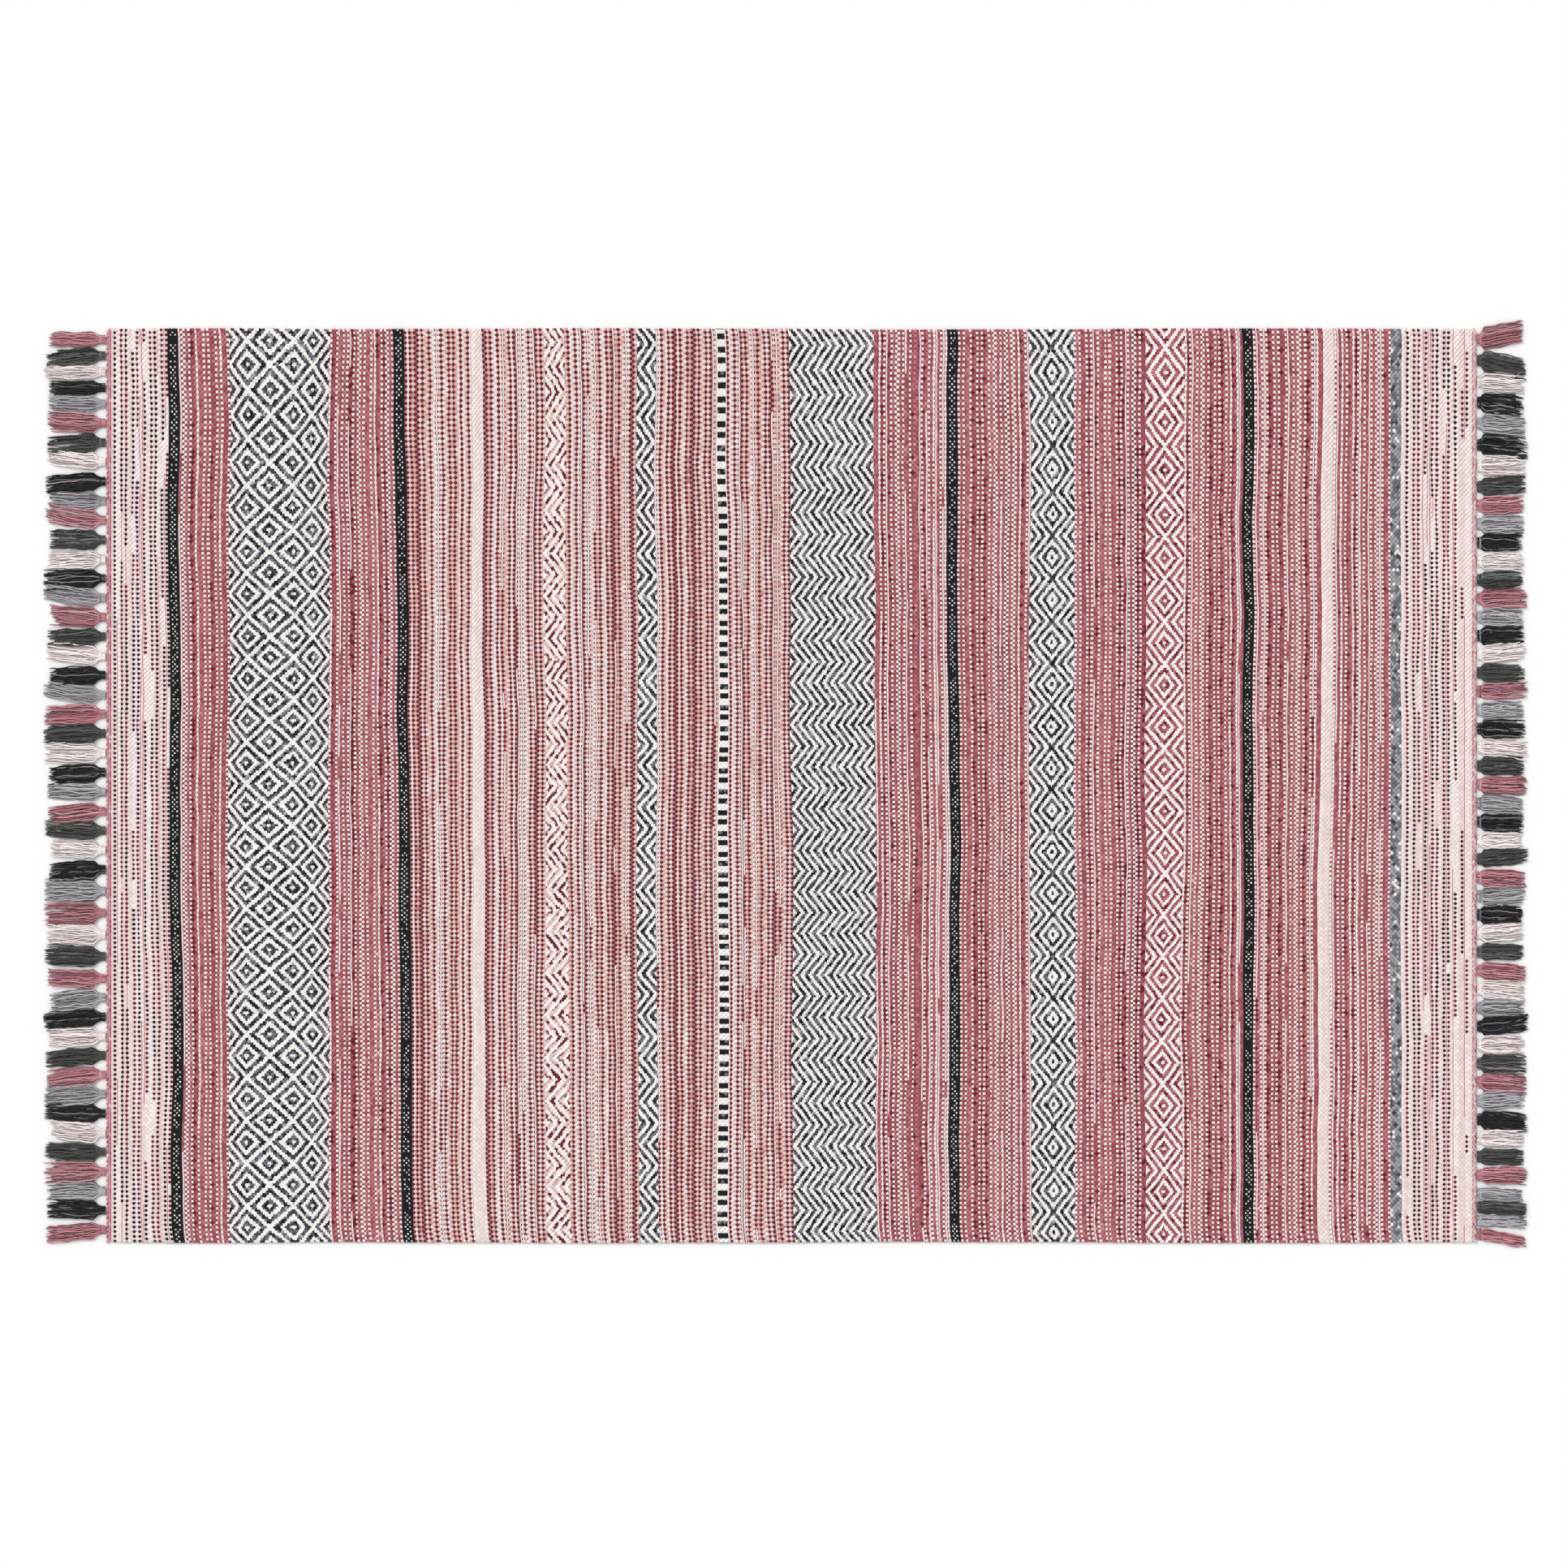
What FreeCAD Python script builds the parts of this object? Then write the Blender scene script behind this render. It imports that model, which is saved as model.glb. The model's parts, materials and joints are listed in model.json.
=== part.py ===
"""Flat-woven striped cotton rug with a tasselled fringe at each end.

Millimetres, +Z up. The rug lies flat on z = 0 with its warp threads along X and
its coloured weft stripes across them, along Y. The origin is on the floor,
under the middle of the rug. Each tassel row hangs on its own hinge line, just
outside the hem that it is tied to.
"""
import FreeCAD, Part
import os

# Overall sizes
RUG_LENGTH = 1800.0
RUG_WIDTH = 1200.0
CLOTH_THICKNESS = 5.0

# Warp threads, lying side by side in one layer at the middle of the cloth
WARP_LAYER_THICKNESS = 1.0
SELVEDGE_TURN = 3.0
WARP_END_COVER = 2.5

# Hems, at the two short ends
LEFT_HEM_LENGTH = 6.5
RIGHT_HEM_LENGTH = 5.0
HEM_EDGE_RADIUS = 1.8

# Weft stripes from the left hem to the right one: name, width along the rug, and
# how far the stripe's right-hand edge leans, bottom end less top end. The widths
# are stretched together to fill the length between the hems.
STRIPES = (
    ("stripe_01_pale_dashed", 77.5, 6.0),
    ("stripe_02_black", 14.5, 7.0),
    ("stripe_03_rose", 63.0, 0.0),
    ("stripe_04_grey_diamond_lattice", 131.0, 0.0),
    ("stripe_05_rose", 90.5, 10.0),
    ("stripe_06_black", 14.5, 11.0),
    ("stripe_07_pink_mix", 84.0, 4.0),
    ("stripe_08_pale", 15.0, 7.0),
    ("stripe_09_pink_mix", 79.5, 3.0),
    ("stripe_10_pink_zigzag", 30.0, 9.0),
    ("stripe_11_pink_mix", 92.0, 3.0),
    ("stripe_12_grey_zigzag", 25.0, 3.0),
    ("stripe_13_pink_mix", 80.0, 1.0),
    ("stripe_14_black_ladder", 15.0, 5.0),
    ("stripe_15_pink_mix", 82.0, 6.0),
    ("stripe_16_grey_chevron", 111.0, 5.0),
    ("stripe_17_rose", 95.0, 3.0),
    ("stripe_18_black", 14.0, 3.0),
    ("stripe_19_rose", 94.0, 4.0),
    ("stripe_20_grey_diamond_row", 58.0, -1.0),
    ("stripe_21_rose", 93.0, 0.0),
    ("stripe_22_rose_diamond_row", 49.0, -5.0),
    ("stripe_23_rose", 79.0, 0.0),
    ("stripe_24_black", 14.0, 0.0),
    ("stripe_25_rose", 88.0, -9.0),
    ("stripe_26_pale", 15.0, -8.0),
    ("stripe_27_rose", 76.5, 0.0),
    ("stripe_28_grey", 14.0, 0.0),
    ("stripe_29_pale_dashed", 94.5, 0.0),
)

# Tassels, from the top of each end to the bottom, one letter for each
LEFT_ORDER = "RCPBG" * 6 + "R" + "PCRGB" * 3 + "R"
RIGHT_ORDER = "RCPBG" + "BPCRG" * 5 + "BPCR" + "PG" + "BPCRG" * 2 + "CGR"
YARN_NAMES = {"R": "rose", "C": "charcoal", "P": "pale", "B": "black", "G": "grey"}
# Tied by hand, the tassels don't stand evenly: from the top down, runs of (how many gaps, each gap)
LEFT_SPACING = ((4, 21.1), (24, 25.5), (5, 28.6), (13, 25.4))
RIGHT_SPACING = ((7, 27.7), (38, 24.46), (3, 17.7))
# How far the first and last tassels stand in from the top and bottom corners
LEFT_INSETS = (13.9, 16.7)
RIGHT_INSETS = (13.5, 10.5)
HINGE_GAP = 0.6
NECK_WIDTH = 9.0
NECK_THICKNESS = 3.4
NECK_LENGTH = 11.0
KNOT_SHARE = 0.8
KNOT_INSET = 0.05
LEFT_SKIRT_LENGTH = 69.0
RIGHT_SKIRT_LENGTH = 54.0
SKIRT_THICKNESS = 5.0
SKIRT_SIDE_GAP = 1.2
FLARE_LENGTH = 15.0
TIP_TAPER = 0.92

# Thread bound round each tassel's neck
TIE_FROM_HINGE = 6.5
TIE_WIDTH = 2.4
TIE_THREAD = 0.7

HINGE_OUT = HINGE_GAP + NECK_THICKNESS / 2
CLOTH_MIDDLE = CLOTH_THICKNESS / 2
NECK_HEIGHT = max(CLOTH_MIDDLE, NECK_THICKNESS / 2 + TIE_THREAD)
X_AXIS = FreeCAD.Vector(1, 0, 0)
Y_AXIS = FreeCAD.Vector(0, 1, 0)
Z_AXIS = FreeCAD.Vector(0, 0, 1)


def stripe_edges():
    """Each stripe's name with the place and lean of its two sides."""
    room = RUG_LENGTH - LEFT_HEM_LENGTH - RIGHT_HEM_LENGTH
    stretch = room / sum(width for _, width, _ in STRIPES)
    left = -RUG_LENGTH / 2 + LEFT_HEM_LENGTH
    lean = 0.0
    edges = []
    for name, width, right_lean in STRIPES:
        right = left + width * stretch
        edges.append((name, left, lean, right, right_lean))
        left = right
        lean = right_lean
    return edges


def warp_sheet():
    """The layer of warp threads, shut in on all sides by the weft and the hems."""
    length = RUG_LENGTH - 2 * WARP_END_COVER
    width = RUG_WIDTH - 2 * SELVEDGE_TURN
    corner = FreeCAD.Vector(-length / 2, -width / 2, CLOTH_MIDDLE - WARP_LAYER_THICKNESS / 2)
    return Part.makeBox(length, width, WARP_LAYER_THICKNESS, corner)


def cloth_section(x):
    """The cloth's cross-section at x, with the round turn of the weft at each side."""
    radius = CLOTH_THICKNESS / 2
    reach = RUG_WIDTH / 2 - radius
    low_near = FreeCAD.Vector(x, -reach, 0)
    low_far = FreeCAD.Vector(x, reach, 0)
    turn_far = FreeCAD.Vector(x, reach + radius, radius)
    high_far = FreeCAD.Vector(x, reach, CLOTH_THICKNESS)
    high_near = FreeCAD.Vector(x, -reach, CLOTH_THICKNESS)
    turn_near = FreeCAD.Vector(x, -reach - radius, radius)
    sides = [
        Part.LineSegment(low_near, low_far).toShape(),
        Part.Arc(low_far, turn_far, high_far).toShape(),
        Part.LineSegment(high_far, high_near).toShape(),
        Part.Arc(high_near, turn_near, low_near).toShape(),
    ]
    return Part.Face(Part.Wire(sides))


def cloth_slab(start, end):
    """A length of plain cloth, from start to end along the rug."""
    return cloth_section(start).extrude(X_AXIS * (end - start))


def stripe(left, left_lean, right, right_lean, warp):
    """One weft stripe: yarn over and under the warp, with its two leaning sides."""
    reach = RUG_WIDTH / 2
    corners = [
        FreeCAD.Vector(left - left_lean / 2, reach, 0),
        FreeCAD.Vector(right - right_lean / 2, reach, 0),
        FreeCAD.Vector(right + right_lean / 2, -reach, 0),
        FreeCAD.Vector(left + left_lean / 2, -reach, 0),
    ]
    plan = Part.Face(Part.makePolygon(corners + corners[:1]))
    block = plan.extrude(Z_AXIS * CLOTH_THICKNESS)
    xs = [corner.x for corner in corners]
    return block.common(cloth_slab(min(xs) - 1, max(xs) + 1)).cut(warp)


def hem(side, length, warp):
    """The knotted hem that holds the warp ends, with its outer edges rounded."""
    outer = side * RUG_LENGTH / 2
    inner = outer - side * length
    slab = cloth_slab(min(outer, inner), max(outer, inner))
    long_edges = []
    for edge in slab.Edges:
        box = edge.BoundBox
        if abs(box.XMin - outer) < 0.01 and box.XLength < 0.01 and box.YLength > RUG_WIDTH / 2:
            long_edges.append(edge)
    return slab.makeFillet(HEM_EDGE_RADIUS, long_edges).cut(warp)


def oval(x, width, thickness, height):
    """An upright oval outline across the tassel, at x along it."""
    curve = Part.Ellipse(FreeCAD.Vector(0, 0, 0), width / 2, thickness / 2)
    wire = Part.Wire(curve.toShape())
    upright = FreeCAD.Rotation(X_AXIS, 90)
    turned = FreeCAD.Rotation(Z_AXIS, 90)
    wire.Placement = FreeCAD.Placement(FreeCAD.Vector(x, 0, height), turned * upright)
    return wire


def tassel(skirt_width, skirt_length):
    """One tassel along +X from its hinge line at x = 0: knot, neck and flat skirt."""
    lying = SKIRT_THICKNESS / 2
    flare_end = NECK_LENGTH + FLARE_LENGTH
    neck_start = oval(0, NECK_WIDTH, NECK_THICKNESS, NECK_HEIGHT)
    neck_end = oval(NECK_LENGTH, NECK_WIDTH, NECK_THICKNESS, NECK_HEIGHT)
    skirt_start = oval(flare_end, skirt_width, SKIRT_THICKNESS, lying)
    skirt_end = oval(NECK_LENGTH + skirt_length, skirt_width * TIP_TAPER, SKIRT_THICKNESS, lying)
    neck = Part.makeLoft([neck_start, neck_end], True, True)
    flare = Part.makeLoft([neck_end, skirt_start], True, True)
    skirt = Part.makeLoft([skirt_start, skirt_end], True, True)
    knot_width = NECK_WIDTH * KNOT_SHARE
    knot_base = FreeCAD.Vector(0, -knot_width / 2, NECK_HEIGHT)
    knot = Part.makeCylinder(NECK_THICKNESS / 2 - KNOT_INSET, knot_width, knot_base, Y_AXIS)
    return neck.fuse([flare, skirt, knot]).removeSplitter()


def neck_tie():
    """The thread bound round a tassel's neck, as a closed ring."""
    start = TIE_FROM_HINGE
    wound_width = NECK_WIDTH + 2 * TIE_THREAD
    wound_thickness = NECK_THICKNESS + 2 * TIE_THREAD
    outer = Part.Face(oval(start, wound_width, wound_thickness, NECK_HEIGHT))
    inner = Part.Face(oval(start, NECK_WIDTH, NECK_THICKNESS, NECK_HEIGHT))
    return outer.cut(inner).extrude(X_AXIS * TIE_WIDTH)


def at_the_end(shape, side, level):
    """A tassel or tie moved out to one end, at its level below the top corner."""
    if side < 0:
        shape.rotate(FreeCAD.Vector(0, 0, 0), Z_AXIS, 180)
    shape.translate(FreeCAD.Vector(side * (RUG_LENGTH / 2 + HINGE_OUT), RUG_WIDTH / 2 - level, 0))
    return shape


def tassel_places(spacing, insets):
    """Each tassel's level below the top corner, and its skirt's width, which clears the nearer neighbour."""
    gaps = [gap for count, gap in spacing for _ in range(count)]
    stretch = (RUG_WIDTH - sum(insets)) / sum(gaps)
    gaps = [gap * stretch for gap in gaps]
    level = insets[0]
    places = []
    for gap_above, gap_below in zip(gaps[:1] + gaps, gaps + gaps[-1:]):
        places.append((level, min(gap_above, gap_below) - SKIRT_SIDE_GAP))
        level += gap_below
    return places


def fringe(end_name, side, order, spacing, insets, skirt_length):
    """All the tassels and neck ties of one end, grouped by the colour of their yarn."""
    groups = {}
    for letter, (level, skirt_width) in zip(order, tassel_places(spacing, insets)):
        yarn = f"{end_name}_{YARN_NAMES[letter]}"
        one_tassel = at_the_end(tassel(skirt_width, skirt_length), side, level)
        one_tie = at_the_end(neck_tie(), side, level)
        groups.setdefault(f"{yarn}_tassels", []).append(one_tassel)
        groups.setdefault(f"{yarn}_neck_ties", []).append(one_tie)
    return {name: Part.makeCompound(pieces) for name, pieces in groups.items()}


def rug():
    """Every piece of the rug by its node name."""
    warp = warp_sheet()
    nodes = {"warp_threads": warp}
    nodes["left_hem"] = hem(-1, LEFT_HEM_LENGTH, warp)
    nodes["right_hem"] = hem(1, RIGHT_HEM_LENGTH, warp)
    for name, left, left_lean, right, right_lean in stripe_edges():
        nodes[name] = stripe(left, left_lean, right, right_lean, warp)
    nodes.update(fringe("left", -1, LEFT_ORDER, LEFT_SPACING, LEFT_INSETS, LEFT_SKIRT_LENGTH))
    nodes.update(fringe("right", 1, RIGHT_ORDER, RIGHT_SPACING, RIGHT_INSETS, RIGHT_SKIRT_LENGTH))
    return nodes


os.makedirs("parts", exist_ok=True)
for node_name, node_shape in rug().items():
    node_shape.exportStep(f"parts/{node_name}.step")
    print(node_name, len(node_shape.Solids), node_shape.isValid(), round(node_shape.Volume, 1))
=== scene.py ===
"""Looks of a flat-woven cotton rug: woven stripes, knotted hems and rows of tassels.

Everything is in metres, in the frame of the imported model: +X along the rug to its
right-hand fringe, +Y across it to its top selvedge, +Z up out of its face. Places
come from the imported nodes. A pick is one pass of weft yarn across the rug, and the
weave's own coordinates count picks from the left hem and warps from the top edge.
"""

import json
import math
import random

import bpy
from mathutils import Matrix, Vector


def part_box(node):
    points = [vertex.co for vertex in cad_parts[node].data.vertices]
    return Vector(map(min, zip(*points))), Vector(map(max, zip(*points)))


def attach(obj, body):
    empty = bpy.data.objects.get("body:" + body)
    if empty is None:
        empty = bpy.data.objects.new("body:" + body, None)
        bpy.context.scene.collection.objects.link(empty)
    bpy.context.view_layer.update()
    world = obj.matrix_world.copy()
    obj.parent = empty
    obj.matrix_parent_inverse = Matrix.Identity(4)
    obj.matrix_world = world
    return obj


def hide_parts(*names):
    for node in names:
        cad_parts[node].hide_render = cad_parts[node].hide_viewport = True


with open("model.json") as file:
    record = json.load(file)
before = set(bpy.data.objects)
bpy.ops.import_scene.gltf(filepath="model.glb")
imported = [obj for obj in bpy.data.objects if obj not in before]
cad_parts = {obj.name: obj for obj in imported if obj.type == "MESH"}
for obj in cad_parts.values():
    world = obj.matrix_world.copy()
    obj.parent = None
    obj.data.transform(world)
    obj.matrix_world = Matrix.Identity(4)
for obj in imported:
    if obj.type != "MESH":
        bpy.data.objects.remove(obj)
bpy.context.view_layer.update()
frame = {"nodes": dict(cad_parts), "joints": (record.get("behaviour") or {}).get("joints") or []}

TURN = 2 * math.pi

# Room
ROOM_LIGHT = 1.08
SKY_STRENGTH = 0.72
KEY_STRENGTH = 1.5
FLOOR_SIZE = 16.0
FLOOR_DROP = 0.0002
CAMERA_HEIGHT = 8.0
VIEW_WIDTH = 2.0614
VIEW_CENTRE = (-0.0096, 0.0021)

# Picks and warps; the left hem takes the first picks
PICK_PITCH = 0.00304
HEM_PICKS = 2
WARPS = 380
# The first warps are let out by this much in all, most of it within the reach
WIDE_TOP = 0.029
WIDE_REACH = 38.0
# Round this warp they crowd by this much, over the reach
CLOSE_DIP = 0.0045
CLOSE_WARP = 275.0
CLOSE_REACH = 60.0
BEAD_RELIEF = 0.0009
BACK_RELIEF = 0.0007
SEAM_SWAY = 0.0032
PICK_SWAY = 0.0013
SELVEDGE_SWAY = 0.0022
SELVEDGE_LOOP = 0.0006
SELVEDGE_LEAN = 0.0028
# The cloth rises by up to this, and lies flat beyond this many half widths from its middle
CLOTH_LIFT = 0.0009
FLAT_FROM = 1.45

# Woven figures: warps to a diamond, warps above the first, how many more of those for each
# metre to the right, and picks to a line
FIGURE_WARPS = 18.0
FIGURE_START = 15.3
FIGURE_DRIFT = 2.4
FIGURE_PICKS = 3.52
# Picks take turns by steps of this share, which shares out the dark and the flecked ones
YARN_STEP = 0.618

# Fringe
STRANDS = 36
STRAND_LAYERS = 3
STRAND_POINTS = 15
STRAND_RADIUS = 0.00086
NECK_STRAND_RADIUS = 0.0006
PLY_PITCH = 0.0035
STRAND_WAVE = 0.001875
STRAND_LUMP = 0.0007
TIE_WIDTH = 0.0018
TIE_TURNS = 3.0
TIE_POINTS = 52
TIE_THREAD = 0.00045
# Corners this near the hinge belong to necks, and this far apart to different tassels
NECK_REACH = 0.003
TASSEL_GAP = 0.012
# How much the strands' tones vary, and how deep their painted shade is; pale yarn less
TASSEL_CONTRAST = 0.65
PALE_CONTRAST = 0.4
# At each end: how far out the ties sit, how soon the skirts open and how full the necks are
NECKS = {"left": (0.0058, 0.0098, 1.45), "right": (0.0032, 0.0055, 1.9)}
# How the top and bottom tassels lie, within reach of a corner: their slope and their spread
CORNER_REACH = 0.02
CORNER_TASSELS = {"left": ((0.0, 1.0), (-0.12, 1.0)), "right": ((0.24, 1.25), (-0.15, 1.0))}
# The other tassels' slopes, bends, spreads and lengths are chance, about these
TASSEL_SLOPE = 0.03
TASSEL_BEND = 0.5
TASSEL_SPREADS = (0.98, 1.16)
TASSEL_LENGTHS = (0.9, 1.02)
# The uppermost tassels of an end droop, the highest most
TOP_DROOP = {"left": 0.03, "right": 0.19}
DROOP_REACH = 0.17
# Blocks of strands, side by side, in the map for baking
BAKE_BLOCKS = 16.0

# Hems and warp threads
HEM_COLUMNS = 2
HEM_STITCH_WARPS = 2.0
HEM_SLANT = math.radians(24)
HEM_INSET = 0.0002
WARP_RADIUS = 0.00045
WARP_POINTS = 36


# ---------- node trees


def operation(kind, swapped=False):
    """A method that joins two values in one step of arithmetic."""
    def method(self, other):
        return calculate(kind, other, self) if swapped else calculate(kind, self, other)
    return method


class Field:
    """A number that a node tree works out, used with plain arithmetic."""

    def __init__(self, socket):
        self.socket = socket

    __add__ = operation("ADD")
    __radd__ = operation("ADD")
    __sub__ = operation("SUBTRACT")
    __rsub__ = operation("SUBTRACT", swapped=True)
    __mul__ = operation("MULTIPLY")
    __rmul__ = operation("MULTIPLY")
    __truediv__ = operation("DIVIDE")
    __mod__ = operation("FLOORED_MODULO")
    __gt__ = operation("GREATER_THAN")
    __lt__ = operation("LESS_THAN")


def connect(socket, value):
    """Joins a socket to a field or another socket, or gives it a plain value."""
    if isinstance(value, Field):
        value = value.socket
    if isinstance(value, bpy.types.NodeSocket):
        socket.id_data.links.new(value, socket)
    else:
        socket.default_value = value


def add_node(tree, kind, inputs=None, **settings):
    """A new node with its settings and inputs in place."""
    node = tree.nodes.new(kind)
    for setting, value in settings.items():
        setattr(node, setting, value)
    for label, value in (inputs or {}).items():
        connect(node.inputs[label], value)
    return node


def tree_of(*values):
    """The node tree of the first field or socket among some values."""
    sockets = (getattr(value, "socket", value) for value in values)
    return next(one.id_data for one in sockets if isinstance(one, bpy.types.NodeSocket))


def calculate(operation, *values):
    """One step of arithmetic on fields and plain numbers."""
    numbered = dict(enumerate(values))
    node = add_node(tree_of(*values), "ShaderNodeMath", numbered, operation=operation)
    return Field(node.outputs[0])


def lowest(a, b):
    return calculate("MINIMUM", a, b)


def highest(a, b):
    return calculate("MAXIMUM", a, b)


def clamped(value, low, high):
    return highest(lowest(value, high), low)


def size_of(value):
    return calculate("ABSOLUTE", value)


def blend(share, start, end):
    """start where share is 0 and end where it is 1."""
    return start + (end - start) * share


def smooth_step(value, start, end):
    """0 before start and 1 after end, with a soft change between."""
    inputs = {"Value": value, "From Min": start, "From Max": end}
    node = add_node(tree_of(value), "ShaderNodeMapRange", inputs, interpolation_type="SMOOTHSTEP")
    return Field(node.outputs["Result"])


def vector(x, y, z=0.0):
    """Three fields or numbers as one vector."""
    return add_node(tree_of(x, y, z), "ShaderNodeCombineXYZ", {"X": x, "Y": y, "Z": z}).outputs[0]


def parts_of(socket):
    """A vector's three numbers."""
    node = add_node(tree_of(socket), "ShaderNodeSeparateXYZ", {"Vector": socket})
    return [Field(output) for output in node.outputs]


def soft_noise(x, y=0.0, z=0.0):
    """Smooth noise from about 0.25 to 0.75, one bump to each unit; a plain last number is a seed."""
    inputs = {"Vector": vector(x, y, z), "Scale": 1.0, "Detail": 1.0}
    return Field(add_node(tree_of(x, y, z), "ShaderNodeTexNoise", inputs).outputs["Fac"])


def swing(x, y=0.0, z=0.0):
    """The same noise from about -1 to 1."""
    return (soft_noise(x, y, z) - 0.5) * 4.0


def chance(x, y=0.0, z=0.0):
    """An even random number from 0 to 1 for each whole x, y and z; a plain last number is a seed."""
    inputs = {"Vector": vector(x, y, z)}
    return Field(add_node(tree_of(x, y, z), "ShaderNodeTexWhiteNoise", inputs).outputs["Value"])


def shape_tree(name, inputs):
    """A geometry tree with named inputs, and a way to read them."""
    tree = bpy.data.node_groups.new(name, "GeometryNodeTree")
    kinds = {"Geometry": "NodeSocketGeometry", "Material": "NodeSocketMaterial"}
    for label in ("Geometry", *inputs, "Material"):
        kind = kinds.get(label, "NodeSocketFloat")
        tree.interface.new_socket(name=label, in_out="INPUT", socket_type=kind)
    tree.interface.new_socket(name="Geometry", in_out="OUTPUT", socket_type="NodeSocketGeometry")
    given = tree.nodes.new("NodeGroupInput")
    return tree, lambda label: Field(given.outputs[label])


def store(geometry, name, value, domain="POINT", data_type="FLOAT"):
    """Keeps a value on the geometry under a name."""
    inputs = {"Geometry": geometry, "Name": name, "Value": value}
    kind = "GeometryNodeStoreNamedAttribute"
    kept = add_node(tree_of(geometry), kind, inputs, domain=domain, data_type=data_type)
    return kept.outputs[0]


def store_map(geometry, name, place):
    """Keeps a flat map of the geometry under a name."""
    return store(geometry, name, place, "CORNER", "FLOAT2")


def recall(tree, name):
    """A value kept on the geometry."""
    kind = "GeometryNodeInputNamedAttribute"
    return Field(add_node(tree, kind, {"Name": name}, data_type="FLOAT").outputs[0])


def moved(geometry, place):
    """Geometry with each of its points put at its place."""
    inputs = {"Geometry": geometry, "Position": place}
    return add_node(tree_of(geometry), "GeometryNodeSetPosition", inputs).outputs[0]


def joined(*geometries):
    """Several geometries as one."""
    join = add_node(tree_of(*geometries), "GeometryNodeJoinGeometry")
    for geometry in geometries:
        connect(join.inputs[0], geometry)
    return join.outputs[0]


def made_real(geometry):
    """Geometry with its instances made into real geometry."""
    inputs = {"Geometry": geometry}
    return add_node(tree_of(geometry), "GeometryNodeRealizeInstances", inputs).outputs[0]


def shaded_smooth(geometry):
    """Geometry with every face shaded smooth."""
    inputs = {"Geometry": geometry, "Shade Smooth": True}
    return add_node(tree_of(geometry), "GeometryNodeSetShadeSmooth", inputs).outputs[0]


def finish_tree(geometry, given):
    """Ends a tree with real geometry in the given material."""
    tree = tree_of(geometry)
    real = made_real(geometry)
    inputs = {"Geometry": real, "Material": given("Material")}
    painted = add_node(tree, "GeometryNodeSetMaterial", inputs)
    add_node(tree, "NodeGroupOutput", {"Geometry": painted.outputs[0]})


def shaped_by(tree, name, base, values):
    """A plain mesh piece that a geometry tree makes from a base mesh and its inputs."""
    piece = bpy.data.objects.new(name, base)
    bpy.context.collection.objects.link(piece)
    modifier = piece.modifiers.new("shape", "NODES")
    modifier.node_group = tree
    for item in tree.interface.items_tree:
        if item.in_out == "INPUT" and item.name in values:
            modifier[item.identifier] = values[item.name]
    depsgraph = bpy.context.evaluated_depsgraph_get()
    made = piece.evaluated_get(depsgraph)
    mesh = bpy.data.meshes.new_from_object(made, preserve_all_data_layers=True, depsgraph=depsgraph)
    piece.modifiers.remove(modifier)
    piece.data = mesh
    return piece


# ---------- weave shape


def fade_away(distance):
    """1 at no distance, and falling away to nothing by about 2 on both sides."""
    return calculate("EXPONENT", distance * distance * -1.0)


def drop_from_top(warp, pitch):
    """How far down from the top selvedge a warp lies: wider spaced near it, closer lower down."""
    wide = 1.0 - calculate("EXPONENT", calculate("POWER", warp / WIDE_REACH, 1.6) * -1.0)
    close = fade_away((warp - CLOSE_WARP) / CLOSE_REACH)
    return warp * pitch + wide * WIDE_TOP - close * CLOSE_DIP


def cloth_lift(x, y, height, level_from):
    """How far the cloth rises off the floor, in soft swells that die away before level_from."""
    swells = 3.1
    fade = 0.05
    swell = highest(soft_noise(x * swells, y * swells, 5.0) - 0.45, 0.0) * 4.0
    return lowest(swell, 1.0) * height * clamped((level_from - size_of(x)) / fade, 0.0, 1.0)


def seam_sway(seam, edge, level, sway):
    """How far a seam strays at a level: seams close together stray alike, seam 0 stays straight."""
    slow = swing(edge * 7.0, level * 3.6)
    quick = swing(edge * 20.0, level * 16.0, 8.0)
    return (slow + quick * 0.2) * sway * lowest(seam, 1.0)


def selvedge_lean(x, drop, half_width, lean, level_from):
    """How far the picks slew sideways as they near the top and bottom selvedges."""
    top_reach = 0.006
    bottom_reach = 0.014
    fade = 0.06
    top = calculate("EXPONENT", drop / -top_reach) * -0.5
    bottom = calculate("EXPONENT", (drop - half_width * 2.0) / bottom_reach)
    uneven = soft_noise(x * 9.0, 21.0) * 2.0
    return (top + bottom) * uneven * lean * clamped((level_from - size_of(x)) / fade, 0.0, 1.0)


def on_each_face(value):
    """A value's mean over each face."""
    kind = "GeometryNodeFieldOnDomain"
    inputs = {"Value": value}
    mean = add_node(tree_of(value), kind, inputs, domain="FACE", data_type="FLOAT")
    return Field(mean.outputs[0])


def stripe_map(across, along, on_face, rows):
    """A map for baking: the stripe cut into short lengths, face first, then back, then its walls."""
    margin = 0.015
    row_margin = 0.03
    side = on_each_face(on_face)
    mean_across, mean_along = on_each_face(across), on_each_face(along)
    all_rows = rows * 2.0 + 1.0
    length = calculate("FLOOR", mean_along * rows)
    row = length + rows * (1.0 - on_face)
    row_place = (row + across * (1.0 - row_margin * 2.0) + row_margin) / all_rows
    flat = vector((along * rows - length) * (1.0 - margin * 2.0) + margin, row_place)
    is_end = (mean_along < 0.0001) + (mean_along > 0.9999)
    is_far = (mean_along > 0.9999) + (mean_across > 0.9999)
    wall = is_end * 2.0 + lowest(is_far, 1.0)
    wall_row = rows * 2.0 + (wall + on_face * 0.7 + 0.15) / 4.0
    wall_place = blend(is_end, along, across) * (1.0 - margin * 2.0) + margin
    upright = vector(wall_place, wall_row / all_rows)
    is_wall = size_of(side - 0.5) < 0.25
    choice = {0: is_wall, 4: flat, 5: upright}
    mix = add_node(tree_of(along), "ShaderNodeMix", choice, data_type="VECTOR")
    return mix.outputs[1]


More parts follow.
